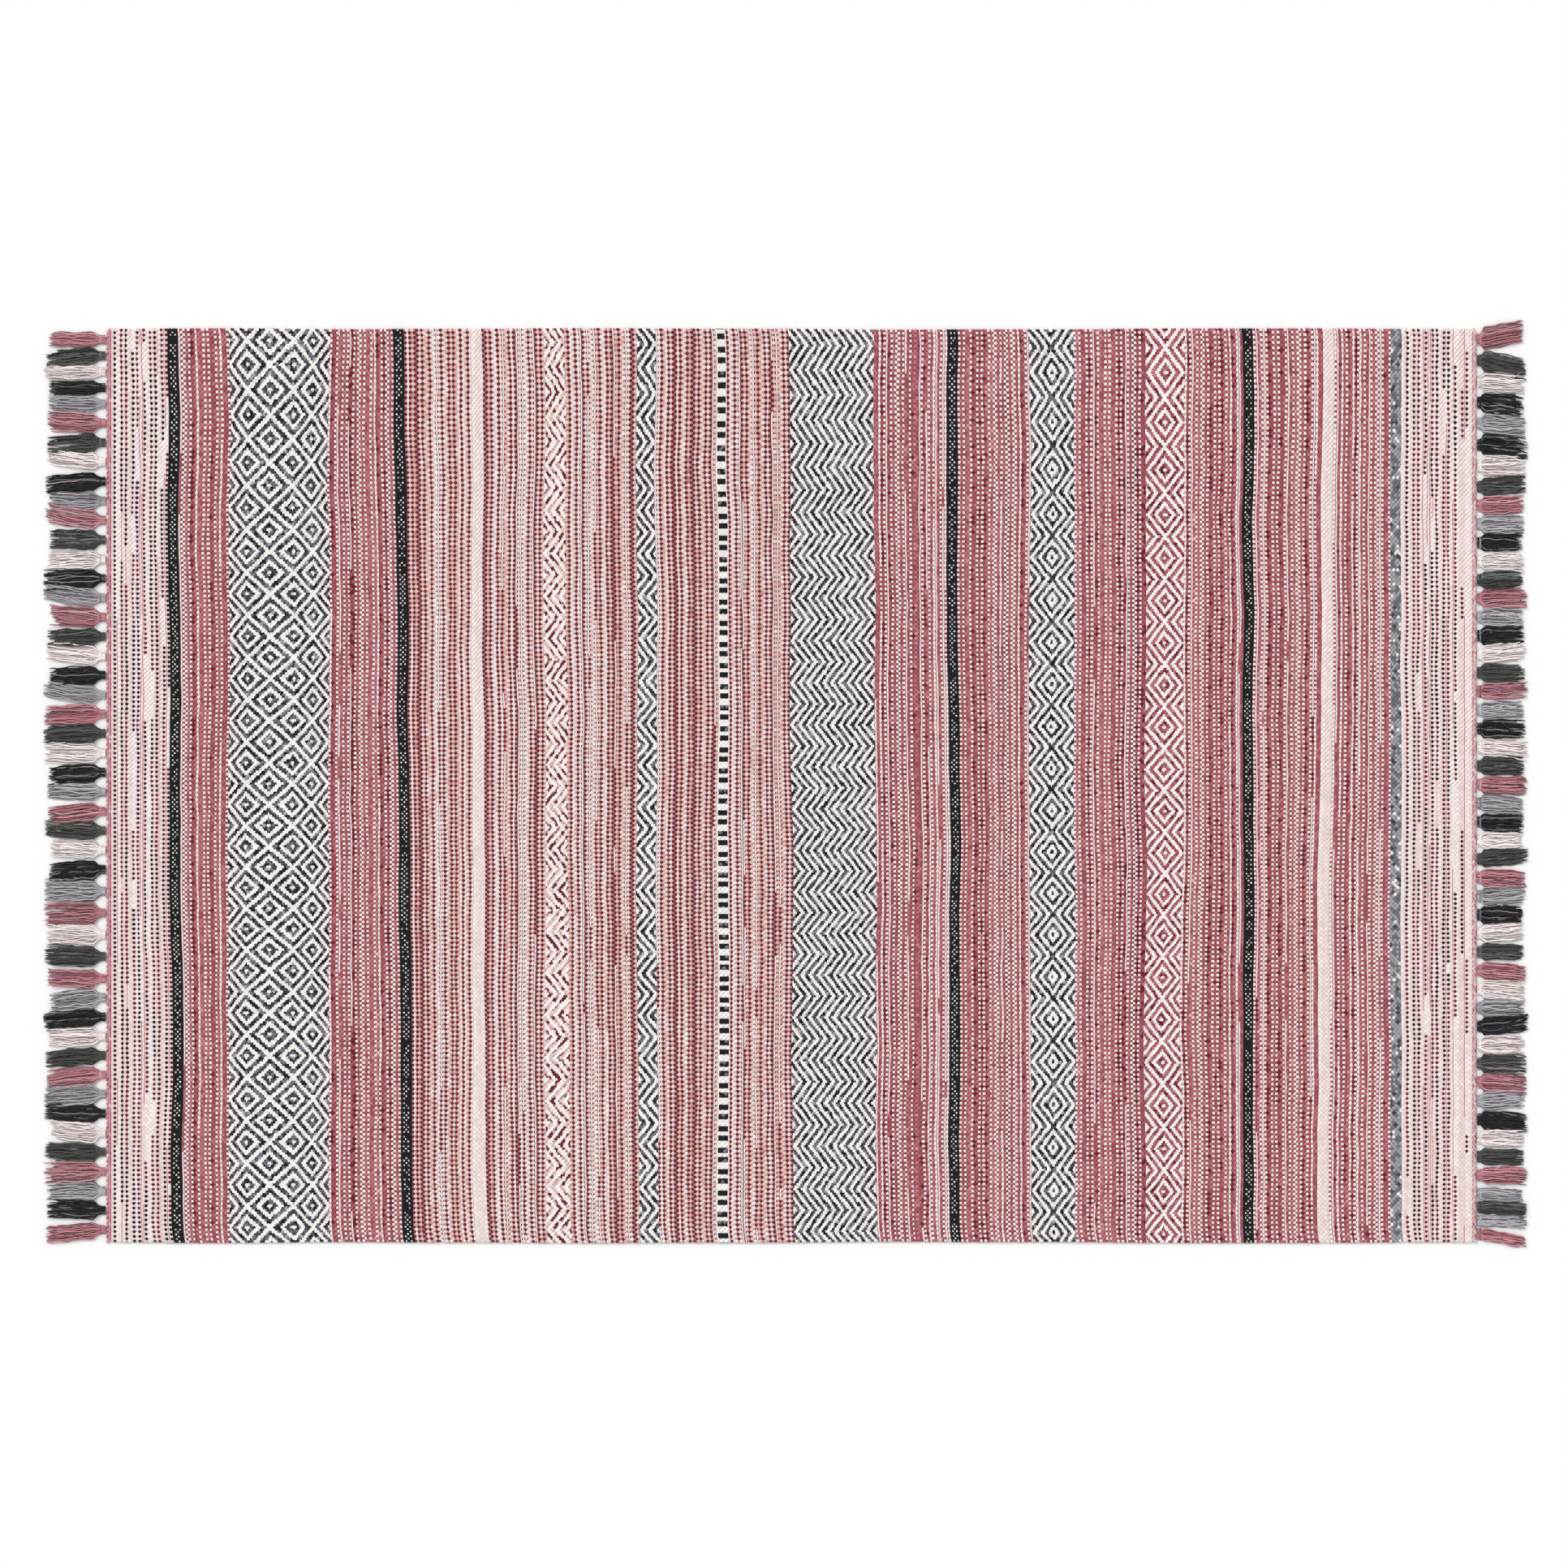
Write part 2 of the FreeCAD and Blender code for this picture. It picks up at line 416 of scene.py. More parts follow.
def closed_slab(picks, warps):
    """A slab one high, with a square for each crossing and a rim of squares round them."""
    tree = tree_of(picks)
    counts = {
        "Size X": picks + 1.0, "Size Y": warps + 1.0,
        "Vertices X": picks + 2.0, "Vertices Y": warps + 2.0,
    }
    grid = add_node(tree, "GeometryNodeMeshGrid", counts).outputs["Mesh"]
    back = add_node(tree, "GeometryNodeFlipFaces", {"Mesh": grid}).outputs[0]
    raised = {"Mesh": grid, "Offset": (0, 0, 1), "Individual": False}
    face = add_node(tree, "GeometryNodeExtrudeMesh", raised).outputs["Mesh"]
    welded = {"Geometry": joined(back, face), "Distance": 0.01}
    return add_node(tree, "GeometryNodeMergeByDistance", welded).outputs[0]


def shaded_beads(mesh, starts_on_bead):
    """The slab's squares cut from pit to pit round each bead, and shaded smooth but at its rim."""
    tree = tree_of(mesh)
    sharpest = 1.3
    split = {"Mesh": mesh, "Selection": starts_on_bead}
    cut = add_node(tree, "GeometryNodeTriangulate", split, quad_method="FIXED_ALTERNATE")
    rest = {"Mesh": cut.outputs[0]}
    cut = add_node(tree, "GeometryNodeTriangulate", rest, quad_method="FIXED")
    bend = Field(add_node(tree, "GeometryNodeInputMeshEdgeAngle").outputs["Unsigned Angle"])
    creased = {"Geometry": cut.outputs[0], "Selection": bend > sharpest, "Shade Smooth": False}
    return add_node(tree, "GeometryNodeSetShadeSmooth", creased, domain="EDGE").outputs[0]


def stripe_tree():
    """One stripe of plain weave as a closed slab, with a bead wherever weft passes over a warp."""
    labels = (
        "Picks", "First Pick", "Warps", "Warp Pitch",
        "Left Edge", "Left Lean", "Left Seam", "Right Edge", "Right Lean", "Right Seam",
        "Half Width", "Thickness", "Face Relief", "Back Relief",
        "Seam Sway", "Pick Sway", "Selvedge Sway", "Selvedge Loop", "Selvedge Lean",
        "Lift", "Level From", "Bake Rows",
    )
    tree, given = shape_tree("Woven stripe", labels)
    picks, warps = given("Picks"), given("Warps")
    first_pick, half_width = given("First Pick"), given("Half Width")
    spot = add_node(tree, "GeometryNodeInputPosition").outputs[0]
    across, along, on_face = parts_of(spot)
    column = calculate("ROUND", across + (picks + 1.0) * 0.5)
    row = calculate("ROUND", (warps + 1.0) * 0.5 - along)
    pick = clamped(column - 0.5, 0.0, picks)
    warp = clamped(row - 0.5, 0.0, warps)
    odd = (column + row + first_pick + (1.0 - on_face)) % 2.0
    inside = (pick > 0.0) * (pick < picks) * (warp > 0.0) * (warp < warps)
    bead = (1.0 - odd) * inside

    weave_place = vector(pick + first_pick, warp + 1.0 - on_face)
    kept = store_map(closed_slab(picks, warps), "weave", weave_place)
    kept = store(kept, "back", 1.0 - on_face)
    bake_place = stripe_map(pick / picks, warp / warps, on_face, given("Bake Rows"))
    kept = store_map(kept, "OFBake", bake_place)

    drop = drop_from_top(warp, given("Warp Pitch"))
    level = half_width - drop
    sides = level / half_width
    share = pick / picks
    left = given("Left Edge") - given("Left Lean") * sides * 0.5
    right = given("Right Edge") - given("Right Lean") * sides * 0.5
    left = left + seam_sway(given("Left Seam"), given("Left Edge"), level, given("Seam Sway"))
    right = right + seam_sway(given("Right Seam"), given("Right Edge"), level, given("Seam Sway"))
    wander = swing((pick + first_pick) * 0.6, level * 18.0, 3.0)
    middle = share * (1.0 - share) * 4.0
    x = blend(share, left, right) + wander * given("Pick Sway") * middle
    x = x + selvedge_lean(x, drop, half_width, given("Selvedge Lean"), given("Level From"))

    edge = (warp < 0.001) - (warp > warps - 0.001)
    loops = edge * given("Selvedge Loop") * ((column + first_pick) % 2.0)
    pull = swing(x * 2.3, 40.0) * given("Selvedge Sway")
    y = level + loops + pull * calculate("POWER", size_of(sides), 5.0) * sides

    half_thick = given("Thickness") * 0.5
    inset = lowest(drop, half_width * 2.0 - drop) / half_thick
    round_off = 1.0 - lowest(inset, 1.0)
    thinnest = 0.3
    fullness = highest(calculate("SQRT", highest(1.0 - round_off * round_off, 0.0)), thinnest)
    uneven = 0.75 + soft_noise((pick + first_pick) * 1.3, warp * 0.9, 9.0) * 0.5
    face_high = half_thick - given("Face Relief") * (1.0 - bead * uneven)
    back_high = half_thick - given("Back Relief") * (1.0 - bead * uneven)
    lift = cloth_lift(x, y, given("Lift"), given("Level From"))
    z = half_thick + fullness * (face_high * on_face - back_high * (1.0 - on_face)) + lift

    corner = on_each_face(column) + on_each_face(row) + first_pick + (1.0 - on_face)
    starts_on_bead = calculate("ROUND", corner) % 2.0 < 0.5
    finish_tree(shaded_beads(moved(kept, vector(x, y, z)), starts_on_bead), given)
    return tree


# ---------- cotton


def light_from(value):
    """A tone from 0 to 1 as it looks, as linear light."""
    return value / 12.92 if value <= 0.04045 else ((value + 0.055) / 1.055) ** 2.4


def dyed(red, green, blue):
    """A dye's colour, given from 0 to 255 as it looks in the room's light, as linear light."""
    return tuple(light_from(value / 255) / ROOM_LIGHT for value in (red, green, blue))


BRIGHT = dyed(255, 249, 247)
WHITE = dyed(248, 240, 238)
CREAM = dyed(244, 232, 227)
PALE_PINK = dyed(242, 224, 220)
SHELL = dyed(234, 206, 204)
PINK = dyed(230, 184, 180)
SALMON = dyed(238, 204, 192)
DUSTY = dyed(208, 150, 153)
ROSE = dyed(190, 118, 123)
DEEP_ROSE = dyed(166, 87, 96)
MAROON = dyed(112, 28, 44)
DARK_MAROON = dyed(46, 12, 28)
BLACK = dyed(20, 19, 23)
CHARCOAL = dyed(66, 66, 74)
GREY = dyed(116, 115, 124)
LIGHT_GREY = dyed(166, 164, 170)

# How far a yarn's pits are kept from the painted pit shade
PLAIN = 0.0
SLEEK = 0.5
SMOOTH = 0.75


def full(colour):
    """A dye as a colour socket takes it."""
    return (*colour, 1.0)


def stored(tree, name):
    """A number that the mesh carries, for its material."""
    kind = "ShaderNodeAttribute"
    kept = add_node(tree, kind, attribute_name=name, attribute_type="GEOMETRY")
    return Field(kept.outputs["Fac"])


def mixed(share, start, end, mode="MIX"):
    """Two colours mixed, start where share is 0 and end where it is 1."""
    inputs = {"Factor": share, "A": start, "B": end}
    tree = tree_of(share, start, end)
    node = add_node(tree, "ShaderNodeMix", data_type="RGBA", blend_type=mode)
    for socket in node.inputs:
        if socket.enabled and socket.name in inputs:
            connect(socket, inputs[socket.name])
    return next(output for output in node.outputs if output.enabled)


def picked(number, yarns):
    """The yarn whose share of 0 to 1 the number falls in, as its colour and how smooth it lies."""
    ramp = add_node(tree_of(number), "ShaderNodeValToRGB", {"Fac": number})
    ramp.color_ramp.interpolation = "CONSTANT"
    total = sum(yarn[0] for yarn in yarns)
    start = 0.0
    for index, (share, colour, *smooth) in enumerate(yarns):
        stops = ramp.color_ramp.elements
        stop = stops[index] if index < 2 else stops.new(1.0)
        stop.position = start
        stop.color = (*colour, smooth[0] if smooth else PLAIN)
        start += share / total
    return ramp.outputs["Color"], Field(ramp.outputs["Alpha"])


class Weave:
    """Where a shaded point lies in the weave: its pick, its warp and its bead."""

    def __init__(self, tree, first, picks, figure_start):
        self.first = first
        self.picks = picks
        self.figure_start = figure_start
        place = add_node(tree, "ShaderNodeUVMap", uv_map="weave").outputs[0]
        self.u, self.v, _ = parts_of(place)
        slant = calculate("ROUND", (self.u + self.v - 1.0) * 0.5)
        counter = calculate("ROUND", (self.u - self.v) * 0.5)
        self.pick = slant + counter
        self.warp = slant - counter
        off_pick = self.u - self.pick - 0.5
        off_warp = self.v - self.warp - 0.5
        self.height = 1.0 - (off_pick * off_pick + off_warp * off_warp)
        self.back = stored(tree, "back")

    def yarns(self, yarns):
        """Each pick's own yarn, changing a little along the pick as space-dyed yarn does."""
        drift = 0.015
        change_warps = 110.0
        wander = swing(self.pick * 5.3, self.warp / change_warps, 2.0)
        return picked((chance(self.pick) + wander * drift) % 1.0, yarns)

    def own(self, seed=0.0):
        """A random number from 0 to 1 for each bead."""
        return chance(self.pick, self.warp, seed)

    def turn(self, start=0.0):
        """A number from 0 to 1 for each pick, evenly shared out among picks that lie together."""
        return (self.pick * YARN_STEP + start) % 1.0

    def line(self, share, half_width, seed):
        """1 along a thin smooth thread that runs for a while beside some of the picks."""
        run_warps = 75.0
        column = calculate("FLOOR", self.u)
        runs = soft_noise(chance(column, seed) * 60.0, self.v / run_warps) > 0.42
        beside = size_of(self.u - column - 0.5) < half_width
        return (chance(column, seed + 2.0) < share) * beside * runs

    def flecked(self, ground, fleck, fleck_share, fleck_height):
        """Yarn that varies from bead to bead, some picks flecked, a white thread beside a few."""
        own = chance(self.pick, 3.0)
        number = own * 0.55 + self.own(5.0) * 0.45
        base, _ = picked(number, ground)
        has_flecks = self.turn(own * 0.15) < fleck_share
        colour = mixed(has_flecks * (self.height > fleck_height), base, full(fleck))
        line = self.line(0.2, 0.26, 21.0)
        return mixed(line, colour, full(WHITE)), line * SMOOTH

    def phase_down(self, start=0.0):
        """0 at the middle of a woven diamond, 1 where its neighbours cross, and back."""
        level = blend(0.75, self.v, calculate("FLOOR", self.v) + 0.5)
        half = FIGURE_WARPS / 2
        down = level - self.figure_start + start * half + FIGURE_WARPS * 10
        return calculate("PINGPONG", down, half) / half


def figure(weave, phase, light, dark, width=0.47):
    """Light yarn where phase is whole and dark yarn between; the back has them swapped."""
    ragged = (weave.own(4.0) - 0.5) * 0.12
    off = size_of(((phase + ragged + 0.5) % 1.0) - 0.5) * 2.0
    shown = size_of((off < width) - (weave.back > 0.5))
    return mixed(shown, dark, full(light)), shown


def new_material(name):
    """A material with its tree and its shader."""
    material = bpy.data.materials.new(name)
    material.use_nodes = True
    return material, material.node_tree, material.node_tree.nodes["Principled BSDF"]


def fuzz_at(place, fineness):
    """Fine fibre noise, from about 0.25 to 0.75."""
    fibre = {"Vector": place, "Scale": fineness, "Detail": 2.0}
    return Field(add_node(tree_of(place), "ShaderNodeTexNoise", fibre).outputs["Fac"])


def cotton_surface(shader, colour, shades, relief, bump):
    """Dull, slightly furry cotton: its colour dimmed by its shades (grain and painted shade), its
    relief as strong as bump.
    """
    tree = tree_of(relief)
    dimmed = add_node(tree, "ShaderNodeCombineColor", dict(zip(("Red", "Green", "Blue"), shades)))
    strength, depth = bump
    inputs = {"Height": relief, "Strength": strength, "Distance": depth}
    bumped = add_node(tree, "ShaderNodeBump", inputs)
    connect(shader.inputs["Base Color"], mixed(1.0, colour, dimmed.outputs[0], "MULTIPLY"))
    connect(shader.inputs["Normal"], bumped.outputs[0])
    shader.inputs["Sheen Roughness"].default_value = 0.5
    shader.inputs["Specular IOR Level"].default_value = 0.25


def cotton(name, paint, pit_shade, first, picks, figure_start):
    """Woven cotton: paint gives the yarn's colour, and painted shade darkens the pits between beads.
    """
    material, tree, shader = new_material(name)
    weave = Weave(tree, first, picks, figure_start)
    colour, smoothness = paint(weave)
    # Painted shade: the pits between beads are darkened per colour channel, less on smooth yarn.
    pit = (1.0 - smooth_step(weave.height, 0.1, 0.75)) * (1.0 - smoothness * 0.8)
    fuzz = fuzz_at(add_node(tree, "ShaderNodeTexCoord").outputs["Object"], 900.0)
    uneven = 0.9 + weave.own(11.0) * 0.16
    grain = uneven + (fuzz - 0.5) * 0.24
    shades = [grain * (1.0 - pit * dark) for dark in pit_shade]
    cotton_surface(shader, colour, shades, weave.height * 0.8 + fuzz * 0.12, (0.6, 0.0009))
    connect(shader.inputs["Roughness"], 0.86 + (fuzz - 0.5) * 0.15)
    shader.inputs["Sheen Weight"].default_value = 0.12
    return material


def pale_dashed(weave):
    """Pale pink weft with thin dark picks that show as dashes, fewer near the right-hand hem."""
    is_left = weave.first == HEM_PICKS
    dyes = ((9, PALE_PINK), (10, WHITE), (4, CREAM), (2, SHELL), (3, WHITE, SMOOTH))
    ground, smooth = weave.yarns(dyes)
    across = weave.pick - weave.first
    beside = (size_of(across - 1.0) < 0.5) * float(is_left)
    sparse = smooth_step(across, weave.picks * 0.55, weave.picks * 0.95) * float(not is_left)
    dark_pick = highest((weave.turn(0.3) < 0.37) * (across > 1.5), beside)
    wander = soft_noise(chance(weave.pick, 9.0) * 60.0, weave.warp / 60.0)
    present = wander + beside - sparse * 0.22 > 0.37
    shown = dark_pick * present * (weave.height > 0.58)
    share = soft_noise(weave.pick * 1.7, weave.warp / 50.0) + beside > 0.5
    tone = mixed(share, full(MAROON), full(DARK_MAROON))
    lined = mixed(weave.line(0.16, 0.2, 31.0), ground, full(DUSTY))
    return mixed(shown, lined, tone), smooth


def rose(weave):
    """Rose weft with pale flecks."""
    ground = ((21, MAROON), (33, DEEP_ROSE), (33, ROSE), (9, DUSTY), (4, PINK))
    return weave.flecked(ground, WHITE, 0.42, 0.68)


def pink_mix(weave):
    """Pink, pale and cream weft with maroon flecks."""
    ground = ((8, DUSTY), (20, PINK), (22, SALMON), (26, PALE_PINK), (24, WHITE))
    return weave.flecked(ground, MAROON, 0.47, 0.52)


def black(weave):
    """Black weft, its inner picks showing small pale specks on their bead crowns, painted highlights.
    """
    across = weave.pick - weave.first
    inner = (across > 0.5) * (across < weave.picks - 1.5)
    # Painted highlights: pale glints on the crowns of the inner picks' beads.
    bead_glint = (weave.height > 0.86) * inner * (weave.own() > 0.25)
    glint_colour = mixed(weave.own(5.0), full(LIGHT_GREY), full(WHITE))
    return mixed(bead_glint, full(BLACK), glint_colour), PLAIN


def pale(weave):
    """Cream weft, packed close."""
    return weave.yarns(((3, CREAM), (5, PALE_PINK), (2, WHITE)))


def grey(weave):
    """Two greys, bead about, with a few dark and white beads."""
    dyes = ((5, GREY), (1, CHARCOAL), (7, LIGHT_GREY), (1, WHITE))
    return picked(weave.own(), dyes)


def grey_flecks(weave):
    """Grey marl yarn: dark, middling and light flecks."""
    return picked(weave.own(2.0), ((4, CHARCOAL), (3, BLACK), (4, GREY), (1, LIGHT_GREY)))[0]


def rose_flecks(weave):
    """Rose yarn with some darker flecks."""
    return picked(weave.own(2.0), ((5, DEEP_ROSE), (2, MAROON), (4, ROSE)))[0]


def diamond_lattice(weave):
    """Diamonds in interlocking columns, the outer columns narrower."""
    turns = (0.0, 0.175, 0.405, 0.645, 0.835, 1.0)
    share = clamped((weave.u - weave.first) / weave.picks, 0.0, 1.0)
    fold = add_node(tree_of(share), "ShaderNodeFloatCurve", {"Value": share})
    curve = fold.mapping.curves[0]
    for index, place in enumerate(turns):
        height = float(index % 2)
        if 0 < index < len(turns) - 1:
            curve.points.new(place, height)
        else:
            curve.points[0 if index == 0 else -1].location = (place, height)
    for point in curve.points:
        point.handle_type = "VECTOR"
    fold.mapping.update()
    phase = Field(fold.outputs[0]) * 2.0 + weave.phase_down(1.0) * 2.0
    return figure(weave, phase, BRIGHT, grey_flecks(weave))


def diamond_row(flecks, offset):
    """One column of nested diamonds between half diamonds."""
    def paint(weave):
        fold = size_of(weave.u - weave.first - weave.picks / 2) / FIGURE_PICKS
        phase = fold + weave.phase_down() * 2.0 + offset
        return figure(weave, phase, BRIGHT, flecks(weave))
    return paint


def slanted(weave):
    """Where a point lies between parallel zigzag lines."""
    return (weave.u - weave.first - 0.7) / FIGURE_PICKS - weave.phase_down() * 2.0


def chevron(weave):
    """Parallel zigzag lines of white on grey."""
    return figure(weave, slanted(weave), BRIGHT, grey_flecks(weave))


def pink_zigzag(weave):
    """White zigzag lines floating over the pink mix, with maroon flecks between them."""
    soft = picked(weave.own(8.0), ((3, PINK), (3, SALMON), (2, SHELL)))[0]
    ground = mixed(weave.own(6.0) < 0.42, soft, full(MAROON))
    return figure(weave, slanted(weave), BRIGHT, ground, 0.5)


def ladder(weave):
    """White weft with pairs of black rungs."""
    turn = (weave.v + 2.0) % (FIGURE_WARPS / 2)
    rung = (turn < 2.3) + (turn > 3.9) * (turn < 6.2)
    right = weave.first + weave.picks - 0.45
    across = (weave.u > weave.first + 0.55) * (weave.u < right)
    dark = picked(weave.own(), ((6, BLACK), (1, GREY)))[0]
    return mixed(lowest(rung, 1.0) * across, full(BRIGHT), dark), SLEEK


# How much painted shade darkens red, green and blue in the pits between beads
ROSE_PIT_SHADE = (0.52, 0.8, 0.76)
PALE_PIT_SHADE = (0.14, 0.32, 0.3)
GREY_PIT_SHADE = (0.55, 0.55, 0.53)
PIT_SHADES = {"pale_dashed": PALE_PIT_SHADE, "pale": PALE_PIT_SHADE, "rose": ROSE_PIT_SHADE, "pink_mix": ROSE_PIT_SHADE}
PAINTS = {
    "pale_dashed": pale_dashed,
    "black": black,
    "rose": rose,
    "grey_diamond_lattice": diamond_lattice,
    "pink_mix": pink_mix,
    "pale": pale,
    "pink_zigzag": pink_zigzag,
    "grey_zigzag": chevron,
    "black_ladder": ladder,
    "grey_chevron": chevron,
    "grey_diamond_row": diamond_row(grey_flecks, 0.5),
    "rose_diamond_row": diamond_row(rose_flecks, 0.0),
    "grey": grey,
}


# ---------- woven stripes


def stripe_sides(node):
    """A stripe's left and right edges, each with its lean from top to bottom."""
    spots = [vertex.co for vertex in frame["nodes"][node].data.vertices]
    reach = max(spot.y for spot in spots) * 0.9
    top = [spot.x for spot in spots if spot.y > reach]
    bottom = [spot.x for spot in spots if spot.y < -reach]
    sides = []
    for end in (min, max):
        sides.append(((end(top) + end(bottom)) / 2, end(bottom) - end(top)))
    return sides


def weave_values(node):
    """What all the woven pieces share: the cloth's size and how its warps and picks lie."""
    low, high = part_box(node)
    half_width = high[1]
    let_out = WIDE_TOP - CLOSE_DIP * math.exp(-(((WARPS - CLOSE_WARP) / CLOSE_REACH) ** 2))
    return {
        "Warps": float(WARPS), "Warp Pitch": (2 * half_width - let_out) / WARPS,
        "Half Width": half_width,
        "Thickness": high[2] - low[2], "Face Relief": BEAD_RELIEF, "Back Relief": BACK_RELIEF,
        "Seam Sway": SEAM_SWAY, "Pick Sway": PICK_SWAY, "Selvedge Sway": SELVEDGE_SWAY,
        "Selvedge Loop": SELVEDGE_LOOP, "Selvedge Lean": SELVEDGE_LEAN,
        "Lift": CLOTH_LIFT, "Level From": half_width * FLAT_FROM,
    }


def weave_stripes(names, shared):
    """Every stripe of the rug, woven and dyed, in place of its plain solid."""
    tree = stripe_tree()
    first = HEM_PICKS
    for number, name in enumerate(names, start=1):
        (left, left_lean), (right, right_lean) = stripe_sides(name)
        picks = round((right - left) / PICK_PITCH)
        kind = name.split("_", 2)[2]
        own = {
            "Picks": float(picks), "First Pick": float(first),
            "Left Edge": left, "Left Lean": left_lean, "Left Seam": float(number - 1),
            "Right Edge": right, "Right Lean": right_lean,
            "Right Seam": 0.0 if number == len(names) else float(number),
            "Bake Rows": float(math.ceil(math.sqrt(shared["Half Width"] / (right - left)))),
        }
        start = FIGURE_START + FIGURE_DRIFT * (left + right) / 2
        pits = PIT_SHADES.get(kind, GREY_PIT_SHADE)
        finish = name.replace("_", " ")
        own["Material"] = cotton(finish, PAINTS[kind], pits, float(first), float(picks), start)
        piece = shaped_by(tree, f"{name}_weave", bpy.data.meshes.new(name), {**shared, **own})
        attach(piece, "woven_cloth")
        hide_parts(name)
        first += picks


STRIPES = sorted(name for name in frame["nodes"] if name.startswith("stripe_"))
WEAVE = weave_values(STRIPES[0])
weave_stripes(STRIPES, WEAVE)


# ---------- yarn


def yarn_material(name, dyes, contrast=0.4):
    """Loose plied yarn: each strand takes one of the dyes and a tone of its own, with painted shade
    where it faces sideways, along its ply and on a tassel's inner layer.
    """
    material, tree, shader = new_material(name)
    tone, depth = stored(tree, "tone"), stored(tree, "inside")
    along, around, _ = parts_of(add_node(tree, "ShaderNodeUVMap", uv_map="yarn").outputs[0])
    surface = add_node(tree, "ShaderNodeTexCoord")
    facing = size_of(parts_of(surface.outputs["Normal"])[2])
    fuzz = fuzz_at(surface.outputs["Object"], 700.0)
    twist = calculate("SINE", (along / PLY_PITCH + around * 2.0) * TURN)
    own_shade = 1.12 - calculate("POWER", tone * 7.0 % 1.0, 2.5) * contrast
    grain = own_shade + twist * 0.06 + (fuzz - 0.5) * 0.3
    # Painted shade: darker where a strand faces sideways and on a tassel's inner layer; the twist
    # paints faint shade along the ply.
    shade = grain * (1.0 - depth * contrast) * (1.0 - contrast + facing * contrast)
    colour = picked(tone, dyes)[0]
    cotton_surface(shader, colour, [shade] * 3, twist * 0.5 + fuzz * 0.5, (0.35, 0.0004))
    connect(shader.inputs["Roughness"], 0.85 + (fuzz - 0.5) * 0.2)
    shader.inputs["Sheen Weight"].default_value = 0.1
    return material


# Each yarn's dyes, with the shares of strands that take them
YARN_DYES = {
    "rose": ((9, dyed(206, 138, 147)), (3, dyed(230, 170, 176)), (2, dyed(176, 102, 114))),
    "charcoal": ((60, dyed(82, 84, 82)), (8, dyed(112, 116, 114)), (1, dyed(226, 200, 198))),
    "pale": ((8, dyed(255, 244, 242)), (2, dyed(244, 222, 220))),
    # The black yarn's few blue-grey strands are partly lighter strands and partly painted sheen along
    # the black skirts.
    "black": ((50, dyed(36, 36, 40)), (7, dyed(124, 130, 136)), (1, dyed(220, 196, 196))),
    "grey": ((8, dyed(186, 182, 188)), (2, dyed(206, 202, 206))),
}


# ---------- fringe


def mesh_of_points(name, numbers):
    """A mesh of loose points at the origin, each with named numbers of its own."""
    mesh = bpy.data.meshes.new(name)
    count = len(next(iter(numbers.values())))
    mesh.from_pydata([(0.0, 0.0, 0.0)] * count, [], [])
    for label, values in numbers.items():
        mesh.attributes.new(label, "FLOAT", "POINT").data.foreach_set("value", values)
    return mesh


def place_around(tree):
    """How far round its yarn a corner lies, from 0 to 1, with 1 and not 0 on the closing faces."""
    around = recall(tree, "around")
    closing = size_of(around - on_each_face(around)) > 0.15
    return around + closing * (around < 0.3)


def tube(curve, radius, sides):
    """Round yarn along a curve, closed at its ends, with its places along and around kept."""
    tree = tree_of(curve)
    size = {"Resolution": sides, "Radius": 1.0}
    circle = add_node(tree, "GeometryNodeCurvePrimitiveCircle", size)
    turn = add_node(tree, "GeometryNodeSplineParameter").outputs["Factor"]
    profile = store(circle.outputs["Curve"], "around", turn)
    inputs = {"Curve": curve, "Profile Curve": profile, "Scale": radius, "Fill Caps": True}
    mesh = add_node(tree, "GeometryNodeCurveToMesh", inputs).outputs[0]
    place = vector(recall(tree, "along"), place_around(tree))
    return store_map(shaded_smooth(mesh), "yarn", place)


def lines_at(points, count):
    """A straight curve of count points for each point, with the point's own numbers on it."""
    tree = tree_of(points)
    line = add_node(tree, "GeometryNodeCurvePrimitiveLine")
    fine = add_node(tree, "GeometryNodeResampleCurve", {"Curve": line.outputs[0], "Count": count})
    inputs = {"Points": points, "Instance": fine.outputs[0]}
    placed = add_node(tree, "GeometryNodeInstanceOnPoints", inputs).outputs[0]
    share = add_node(tree, "GeometryNodeSplineParameter").outputs["Factor"]
    return made_real(placed), Field(share)


def strand_map(mesh, number, total, share):
    """A map for baking, where each strand has a small rectangle of its own and small round caps."""
    tree = tree_of(mesh)
    rows = calculate("CEIL", total / BAKE_BLOCKS)
    is_cap = size_of(share - on_each_face(share)) < 0.0001
    angle = recall(tree, "around") * TURN
    along = share * 0.9 + 0.05 + is_cap * calculate("COSINE", angle) * 0.03
    cap_up = calculate("SINE", angle) * 0.3 + 0.5
    up = blend(is_cap, place_around(tree) * 0.8 + 0.1, cap_up)
    block = calculate("FLOOR", number / rows)
    place = vector((block + along) / BAKE_BLOCKS, (number % rows + up) / rows)
    return store_map(mesh, "OFBake", place)


